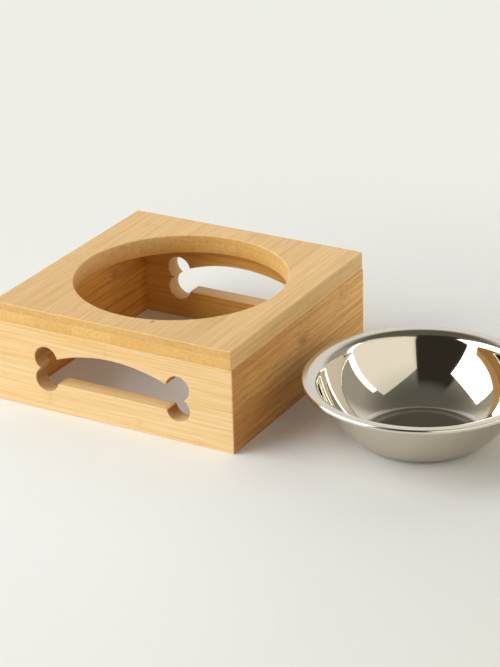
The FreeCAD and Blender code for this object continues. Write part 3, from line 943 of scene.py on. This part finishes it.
@dataclass
class SteelBowl:
    """The pressed bowl: flat base, curved wall, wide shoulder, narrow flat and rolled edge, all one sheet."""

    centre: Vector
    rim_radius: float
    height: float
    edge_radius: float = 1.6 * MM
    rim_flat: float = 2.2 * MM
    shoulder_radius: float = 7.5 * MM
    wall_curve: float = 70.0 * MM
    base_radius: float = 40.0 * MM
    base_curve: float = 5.0 * MM
    sheet: float = 0.8 * MM
    lip_width: float = 0.9 * MM
    lip_rise: float = 2.0 * MM
    lip_drop: float = 0.9 * MM
    turn_radius: float = 10.0 * MM
    rim_polish: float = 0.35
    turn_polish: float = 0.1
    turn_spread: float = 7.0 * MM
    segments: int = 288

    def section(self) -> tuple[Array, Array]:
        """Works out the sheet's section as complex numbers, distance from the axis plus height times i.

        The wall's centre is as far from the base turn's centre as their radii differ and as far from the
        shoulder's centre as their radii add up to, so the arcs run into each other. The inner line has the
        same centres, one sheet thickness inside, apart from a wider turn that touches the wall and the base.
        The outside of the rolled edge is two quarter ellipses, a tall one above a low one. The polish inside
        falls by a bell curve of the distance from the base's edge.

        Returns:
            The section's points from under the middle round the edge to above the middle, and their polish.
        """
        base = complex(self.base_radius, self.base_curve)
        edge = complex(self.rim_radius - self.edge_radius, self.height - self.edge_radius)
        shoulder = complex(edge.real - self.rim_flat, self.height - self.sheet - self.shoulder_radius)
        to_base = self.wall_curve - self.base_curve
        to_shoulder = self.wall_curve + self.shoulder_radius
        gap = abs(shoulder - base)
        along = (to_base ** 2 - to_shoulder ** 2 + gap ** 2) / (2 * gap)
        aside = math.sqrt(to_base ** 2 - along ** 2)
        wall = base + (shoulder - base) / gap * complex(along, aside)
        low = float(np.angle(base - wall))
        high = float(np.angle(shoulder - wall))
        down, up = -math.pi / 2, math.pi / 2

        def arc(centre: complex, radius: float, start: float, end: float, steps: int) -> Array:
            """Gives the points of an arc, both ends included."""
            return centre + radius * np.exp(1j * np.linspace(start, end, steps + 1))

        def run(start: complex, end: complex, steps: int) -> Array:
            """Gives the points between the ends of a straight line."""
            return np.linspace(start, end, steps + 1)[1:-1]

        flat_start = complex(shoulder.real, self.height)
        outside = np.concatenate([
            run(0, complex(self.base_radius, 0), steps=5),
            arc(base, self.base_curve, down, low, steps=10),
            arc(wall, self.wall_curve, low, high, steps=26)[1:],
            arc(shoulder, self.shoulder_radius, high + math.pi, up, steps=16)[1:],
            run(flat_start - 1j * self.sheet, complex(edge.real, self.height - self.sheet), steps=2),
            arc(edge, self.edge_radius - self.sheet, up, down, steps=8),
        ])
        lip = complex(self.rim_radius - self.lip_width, self.height - self.lip_rise)
        fall = np.linspace(down, 0, num=6, endpoint=False)
        rise = np.linspace(0, up, num=15)
        rim = np.concatenate([
            lip + self.lip_width * np.cos(fall) + 1j * self.lip_drop * np.sin(fall),
            lip + self.lip_width * np.cos(rise) + 1j * self.lip_rise * np.sin(rise),
            run(complex(lip.real, self.height), flat_start, steps=3),
        ])
        bend = arc(shoulder, self.shoulder_radius + self.sheet, up, high + math.pi, steps=28)
        inner_curve = self.wall_curve - self.sheet
        turn_high = self.sheet + self.turn_radius
        turn_out = math.sqrt((inner_curve - self.turn_radius) ** 2 - (wall.imag - turn_high) ** 2)
        turn = complex(wall.real + turn_out, turn_high)
        turn_low = float(np.angle(turn - wall))
        inside = np.concatenate([
            arc(wall, inner_curve, high, turn_low, steps=48)[1:],
            arc(turn, self.turn_radius, turn_low, down, steps=20)[1:],
            run(complex(turn.real, self.sheet), 1j * self.sheet, steps=16),
        ])
        near_turn = np.exp(-((inside.real - self.base_radius) / self.turn_spread) ** 2)
        polish = [np.zeros(len(outside)), np.full(len(rim), self.rim_polish),
                  np.linspace(self.rim_polish, 1.0, len(bend)), 1 - (1 - self.turn_polish) * near_turn]
        return np.concatenate([outside, rim, bend, inside]), np.concatenate(polish)

    def build(self) -> Piece:
        """Makes the bowl by turning its section about its axis and closing both sides of the base's middle.

        Returns:
            The bowl.
        """
        section, polish = self.section()
        turn = np.exp(1j * np.linspace(0, math.tau, self.segments, endpoint=False))
        wall = plan_points(section.real[:, None] * turn, section.imag[:, None], self.centre)
        middles = plan_points(np.zeros(2), np.array([0.0, self.sheet]), self.centre)
        faces = ring_faces(len(section), self.segments, closed=False).tolist()
        spot = np.arange(self.segments)
        beside = (spot + 1) % self.segments
        last = (len(section) - 1) * self.segments
        below = np.stack([beside, spot, np.full_like(spot, len(wall))], axis=-1)
        above = np.stack([last + spot, last + beside, np.full_like(spot, len(wall) + 1)], axis=-1)
        points = np.concatenate([wall, middles])
        piece = add_piece("bowl_skin", points, faces + below.tolist() + above.tolist())
        paint_vertices(piece, "polish", np.concatenate([np.repeat(polish, self.segments), [0.0, 1.0]]))
        return piece

    def dress(self, piece: Piece, finish: SteelFinish) -> None:
        """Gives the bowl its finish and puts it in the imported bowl's place.

        Args:
            piece: the bowl.
            finish: its steel.
        """
        piece.data.materials.append(finish.material(self.centre))
        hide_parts("bowl")
        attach(piece, "bowl")


@dataclass
class Joinery:
    """The hidden splines and dowels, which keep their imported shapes."""

    nodes: dict[str, Piece]

    def dress(self, finish: BambooFinish, centre: Vector) -> None:
        """Gives every spline and dowel a raw wood finish.

        Args:
            finish: the raw wood.
            centre: the point from which its pattern is counted.
        """
        material = finish.material(centre)
        for name, node in self.nodes.items():
            if name.endswith(("_spline", "_dowels")):
                node.data.materials.clear()
                node.data.materials.append(material)
                LOG.info("finished hidden piece %s", name)


def direction(azimuth: float, elevation: float) -> Vector:
    """Gives a direction from its angles in degrees: azimuth 0 is to the front and 90 to the right."""
    around, up = math.radians(azimuth), math.radians(elevation)
    return Vector((math.sin(around) * math.cos(up), -math.cos(around) * math.cos(up), math.sin(up)))


@dataclass(frozen=True)
class Lamp:
    """A soft panel of light: where it hangs and which way its back points, by azimuth and elevation."""

    name: str
    place: Pair
    back: Pair
    distance: float
    width: float
    height: float
    radiance: float
    colour: Colour = WHITE
    mirrored: bool = True

    def hang(self, target: Vector) -> None:
        """Hangs the panel round a target. Its power is its radiance times pi times its area.

        Args:
            target: the point from which the panel's place is measured.
        """
        light = bpy.data.lights.new(self.name, "AREA")
        light.shape = "RECTANGLE"
        light.size, light.size_y = self.width, self.height
        light.energy = self.radiance * math.pi * self.width * self.height
        light.color = self.colour
        lamp = bpy.data.objects.new(self.name, light)
        lamp.location = target + self.distance * direction(*self.place)
        lamp.rotation_euler = direction(*self.back).to_track_quat("Z", "Y").to_euler()
        lamp.visible_camera = False
        lamp.visible_glossy = self.mirrored
        bpy.context.scene.collection.objects.link(lamp)


@dataclass(frozen=True)
class RoomSector:
    """A part of the room with a colour of its own: its azimuth, its half angles and where its top fades."""

    azimuth: float
    end: float
    full: float
    top: Pair
    colour: Colour

    def share(self, graph: Graph, x: Socket, y: Socket, z: Socket) -> Socket:
        """Gives 1 within the full angle of the azimuth, falling to 0 at the end angle and at the top.

        Args:
            graph: the room's graph.
            x, y, z: the direction from the middle of the room.

        Returns:
            The sector's share.
        """
        way = direction(self.azimuth, 0)
        flat = graph.math("MAXIMUM", graph.length(graph.join(x, y, 0.0)), TINY)
        facing = graph.over(graph.weighted((x, way.x), (y, way.y)), flat)
        around = graph.step(facing, math.cos(math.radians(self.end)), math.cos(math.radians(self.full)))
        return graph.times(around, graph.minus(1.0, graph.step(z, *self.top)))


@dataclass
class Studio:
    """The camera, the lamps, the room's dim light and the pale floor."""

    target: Vector
    camera_place: Vector = Vector((0.69645, -1.2657, 0.7085))
    camera_azimuth: float = 30.05
    camera_elevation: float = 24.5
    camera_roll: float = -1.58
    focal_pixels: float = 2250.47
    room_colour: Colour = (0.42, 0.38, 0.31)
    ceiling_colour: Colour = (0.125, 0.115, 0.095)
    ceiling_range: Pair = (0.5, 0.95)
    white_wall: RoomSector = RoomSector(205, 62, 42, (0.68, 0.9), (0.88, 0.86, 0.81))
    dark_side: RoomSector = RoomSector(4, 34, 26, (0.8, 0.95), (0.036, 0.03, 0.022))
    floor_colour: Colour = srgb(240, 243, 243)
    far_colour: Colour = srgb(238, 238, 230)
    far_range: Pair = (0.18, 0.5)
    floor_radii: tuple[float, ...] = (0.3, 0.8, 2.0, 5.0, 12.0)
    floor_segments: int = 96
    floor_grain: float = 900.0
    grain_level: float = 0.985
    floor_roughness: float = 0.6
    floor_sheen: float = 0.25
    # Painted shade: the floor and its far glow darken round this spot near the bowl.
    painted_shade_centre: Triple = (0.425, -0.135, 0.0)
    painted_shade_range: Pair = (0.15, 0.5)
    painted_shade_tint: Colour = (0.92, 0.895, 0.88)
    lamps: tuple[Lamp, ...] = (
        Lamp("key_panel", (-50, 24), (-50, 24), 2.5, 2.6, 2.3, 3.6),
        Lamp("high_panel", (-65, 55), (-65, 55), 2.5, 1.6, 1.6, 1.8, mirrored=False),
        Lamp("fill_panel", (63.5, 33.1), (85, 0), 2.18, 2.72, 2.4, 0.66, (1.0, 0.93, 0.82)),
        Lamp("fill_border", (110.5, 25.4), (85, 0), 2.09, 0.25, 1.8, 4.4, (1.0, 0.98, 0.94)),
    )

    def add_camera(self) -> None:
        """Sets the camera where the photograph was taken, by its azimuth, elevation and roll."""
        data = bpy.data.cameras.new("view")
        data.lens = self.focal_pixels * data.sensor_width / IMAGE_LONG_SIDE
        camera = bpy.data.objects.new("view", data)
        turns = (("Z", self.camera_azimuth), ("X", 90 - self.camera_elevation), ("Z", self.camera_roll))
        camera.matrix_world = Matrix.Translation(self.camera_place)
        for axis, angle in turns:
            camera.matrix_world @= Matrix.Rotation(math.radians(angle), 4, axis)
        bpy.context.scene.collection.objects.link(camera)
        bpy.context.scene.camera = camera

    def add_room(self) -> None:
        """Makes the room's light: a white wall behind, dim grey elsewhere, dark where the camera stands."""
        world = bpy.data.worlds.new("room")
        bpy.context.scene.world = world
        world.use_nodes = True
        graph = Graph(world.node_tree)
        x, y, z = graph.split(graph.add("TexCoord").outputs["Generated"])
        colour = graph.mix(graph.step(z, *self.ceiling_range), self.room_colour, self.ceiling_colour)
        for part in (self.white_wall, self.dark_side):
            colour = graph.mix(part.share(graph, x, y, z), colour, part.colour)
        graph.feed(world.node_tree.nodes["Background"], {"Color": colour})

    def add_floor(self) -> None:
        """Makes the pale floor: a flat disc that keeps the shadows near by and has an even tone far out."""
        turn = np.exp(1j * np.linspace(0, math.tau, self.floor_segments, endpoint=False))
        points = plan_points(np.outer(self.floor_radii, turn), 0.0, Vector())
        faces = ring_faces(len(self.floor_radii), turn.size, closed=False)
        floor = add_piece("floor", points, faces[:, ::-1].tolist() + [list(range(turn.size))])
        material, graph, shader = new_material("pale_floor")
        place = graph.add("TexCoord").outputs["Object"]
        grain = graph.noise(graph.vector("MULTIPLY", place, (self.floor_grain,) * 3), detail=2.0)
        dark_grain = tuple(self.grain_level * level for level in self.floor_colour)
        # Painted shade: the light factor darkens the floor and its far glow round a spot near the bowl.
        from_painted_shade = graph.length(graph.vector("SUBTRACT", place, self.painted_shade_centre))
        light = graph.mix(graph.step(from_painted_shade, *self.painted_shade_range), self.painted_shade_tint, WHITE)
        tone = graph.mix(1.0, graph.mix(grain, dark_grain, self.floor_colour), light, "MULTIPLY")
        graph.feed(shader, {
            "Base Color": tone, "Roughness": self.floor_roughness, "Specular IOR Level": self.floor_sheen})
        glow = graph.add("Emission", {"Color": graph.mix(1.0, self.far_colour, light, "MULTIPLY")})
        rays = graph.add("LightPath").outputs
        mirrored = graph.math("MAXIMUM", rays["Is Glossy Ray"], rays["Is Transmission Ray"])
        seen = graph.math("MAXIMUM", rays["Is Camera Ray"], mirrored)
        far = graph.step(graph.length(place), *self.far_range)
        blend = graph.add("MixShader", {
            0: graph.times(far, seen), 1: shader.outputs[0], 2: glow.outputs[0]})
        graph.feed(graph.tree.nodes["Material Output"], {"Surface": blend.outputs[0]})
        floor.data.materials.append(material)

    def build(self) -> None:
        """Sets up the view, the light and the floor."""
        bpy.context.scene.view_settings.view_transform = "Standard"
        self.add_camera()
        self.add_room()
        self.add_floor()
        for lamp in self.lamps:
            lamp.hang(self.target)


def mount_size(name: str, size: str) -> float:
    """Gives in metres a size of one of the record's mounts, by the names of both."""
    mount = next(item for item in frame["record"]["mounts"] if item["name"] == name)
    return mount["dims"][size] * MM


def make_top(finish: BambooFinish) -> TopBoard:
    """Builds and dresses the top board from its packed box.

    Args:
        finish: the board's bamboo.

    Returns:
        The board.
    """
    low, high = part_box("top_board")
    board = TopBoard(centre=(low + high) / 2, half_side=(high.x - low.x) / 2, low=low.z, high=high.z,
                     hole_radius=mount_size("bowl_hole", "r_mm"))
    board.dress(board.build(), finish)
    LOG.info("built top board")
    return board


def make_panels(centre: Vector, finishes: dict[str, BambooFinish]) -> None:
    """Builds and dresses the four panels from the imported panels' boxes.

    Args:
        centre: a point on the stand's upright axis.
        finishes: the finish of each side's panel, in order from the front to the right.
    """
    low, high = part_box("front_panel")
    left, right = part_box("left_panel")[0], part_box("right_panel")[1]
    for turn, (side, finish) in enumerate(finishes.items()):
        slot = BoneSlot() if finish.grain is Grain.SLOTTED else None
        panel = FramePanel(side=side, turn=turn, centre=centre, half_side=(right.x - left.x) / 2,
                           thickness=high.y - low.y, height=high.z, slot=slot)
        panel.dress(panel.build(), finish)
        LOG.info("built %s panel", side)


def make_bowl(finish: SteelFinish) -> None:
    """Builds and dresses the bowl from its packed box.

    Args:
        finish: the bowl's steel.
    """
    low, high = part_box("bowl")
    bowl = SteelBowl(centre=(low + high) / 2, rim_radius=(high.x - low.x) / 2, height=high.z)
    bowl.dress(bowl.build(), finish)
    LOG.info("built bowl")


def bamboo_finishes() -> dict[str, BambooFinish]:
    """Lists the finishes of the five boards and of the hidden joinery.

    Returns:
        The finish for each board's name.
    """
    patterns = BambooPatterns(StripPattern().group(), FibrePattern().group(), KnotPattern().group())
    # The top is painted a little darker towards its front end: painted shade.
    top = BambooFinish(
        "bamboo_top", patterns, Grain.TOP, pale=srgb(240, 204, 147), warm=srgb(224, 180, 115),
        inside_shade_tint=(0.72, 0.49, 0.15), strip_width=20.3 * MM, first_seam=5.1 * MM, inner_width=32.3 * MM,
        inner_seam=1.5 * MM, glue_line=8.4 * MM, strip_contrast=0.6, node_mark=0.12, seam_mark=0.12,
        near_end_shade=0.13, outer_cut_mark=0.19, seed=3.0,
        knots=(Knot(23.7 * MM, -77.6 * MM, 2.3 * MM, 0.9),))
    # The front's deep end-grain tint is partly the end grain's own darker tone and partly painted shade on its
    # slot's side walls.
    front = BambooFinish(
        "bamboo_front", patterns, Grain.SLOTTED, warm=srgb(224, 180, 112), end_grain_and_shade_tint=(0.5, 0.36, 0.2),
        glue_line=91.0 * MM, pore_mark=0.1, node_mark=0.15, seed=7.0,
        knots=(Knot(7.8 * MM, 22.4 * MM, 3.0 * MM, 0.15),))
    # The side panels' deeper, more saturated tones are painted shade for the stand's shaded sides; the right
    # one is also painted darker towards its front end, where the bowl shades it.
    right = BambooFinish(
        "bamboo_right", patterns, Grain.PLAIN, pale=srgb(252, 204, 124), warm=srgb(212, 144, 64),
        deep=srgb(140, 80, 28), glue_line=91.0 * MM, pore_mark=0.4, node_mark=0.15, near_end_shade=0.54,
        seed=11.0,
        knots=(Knot(54.0 * MM, 66.0 * MM, 9.0 * MM, 0.15), Knot(44.0 * MM, 3.0 * MM, 9.0 * MM, 0.4)))
    back = replace(
        front, name="bamboo_back", pale=srgb(238, 202, 142), warm=srgb(220, 174, 108),
        end_grain_and_shade_tint=(0.8, 0.7, 0.55), inside_shade_tint=(0.88, 0.7, 0.34), pore_mark=0.3, seed=13.0, knots=())
    left = replace(
        right, name="bamboo_left", pale=srgb(246, 208, 140), warm=srgb(196, 142, 74),
        inside_shade_tint=(0.76, 0.53, 0.22), near_end_shade=0.0, seed=19.0,
        knots=(Knot(46.0 * MM, 41.0 * MM, 7.0 * MM, 0.6),))
    raw = BambooFinish("raw_wood", patterns, Grain.TOP, strip_width=9.0 * MM, roughness=0.7, seed=17.0)
    return {"top": top, "front": front, "right": right, "back": back, "left": left, "joinery": raw}


def main() -> None:
    """Builds the pieces, their finishes and the studio in order."""
    logging.basicConfig(level=logging.INFO, format="%(name)s: %(message)s")
    finishes = bamboo_finishes()
    board = make_top(finishes["top"])
    make_panels(board.centre, {side: finishes[side] for side in ("front", "right", "back", "left")})
    make_bowl(SteelFinish())
    Joinery(frame["nodes"]).dress(finishes["joinery"], board.centre)
    Studio(target=Vector((0.0, 0.0, 0.03))).build()


if __name__ == "__main__":
    main()
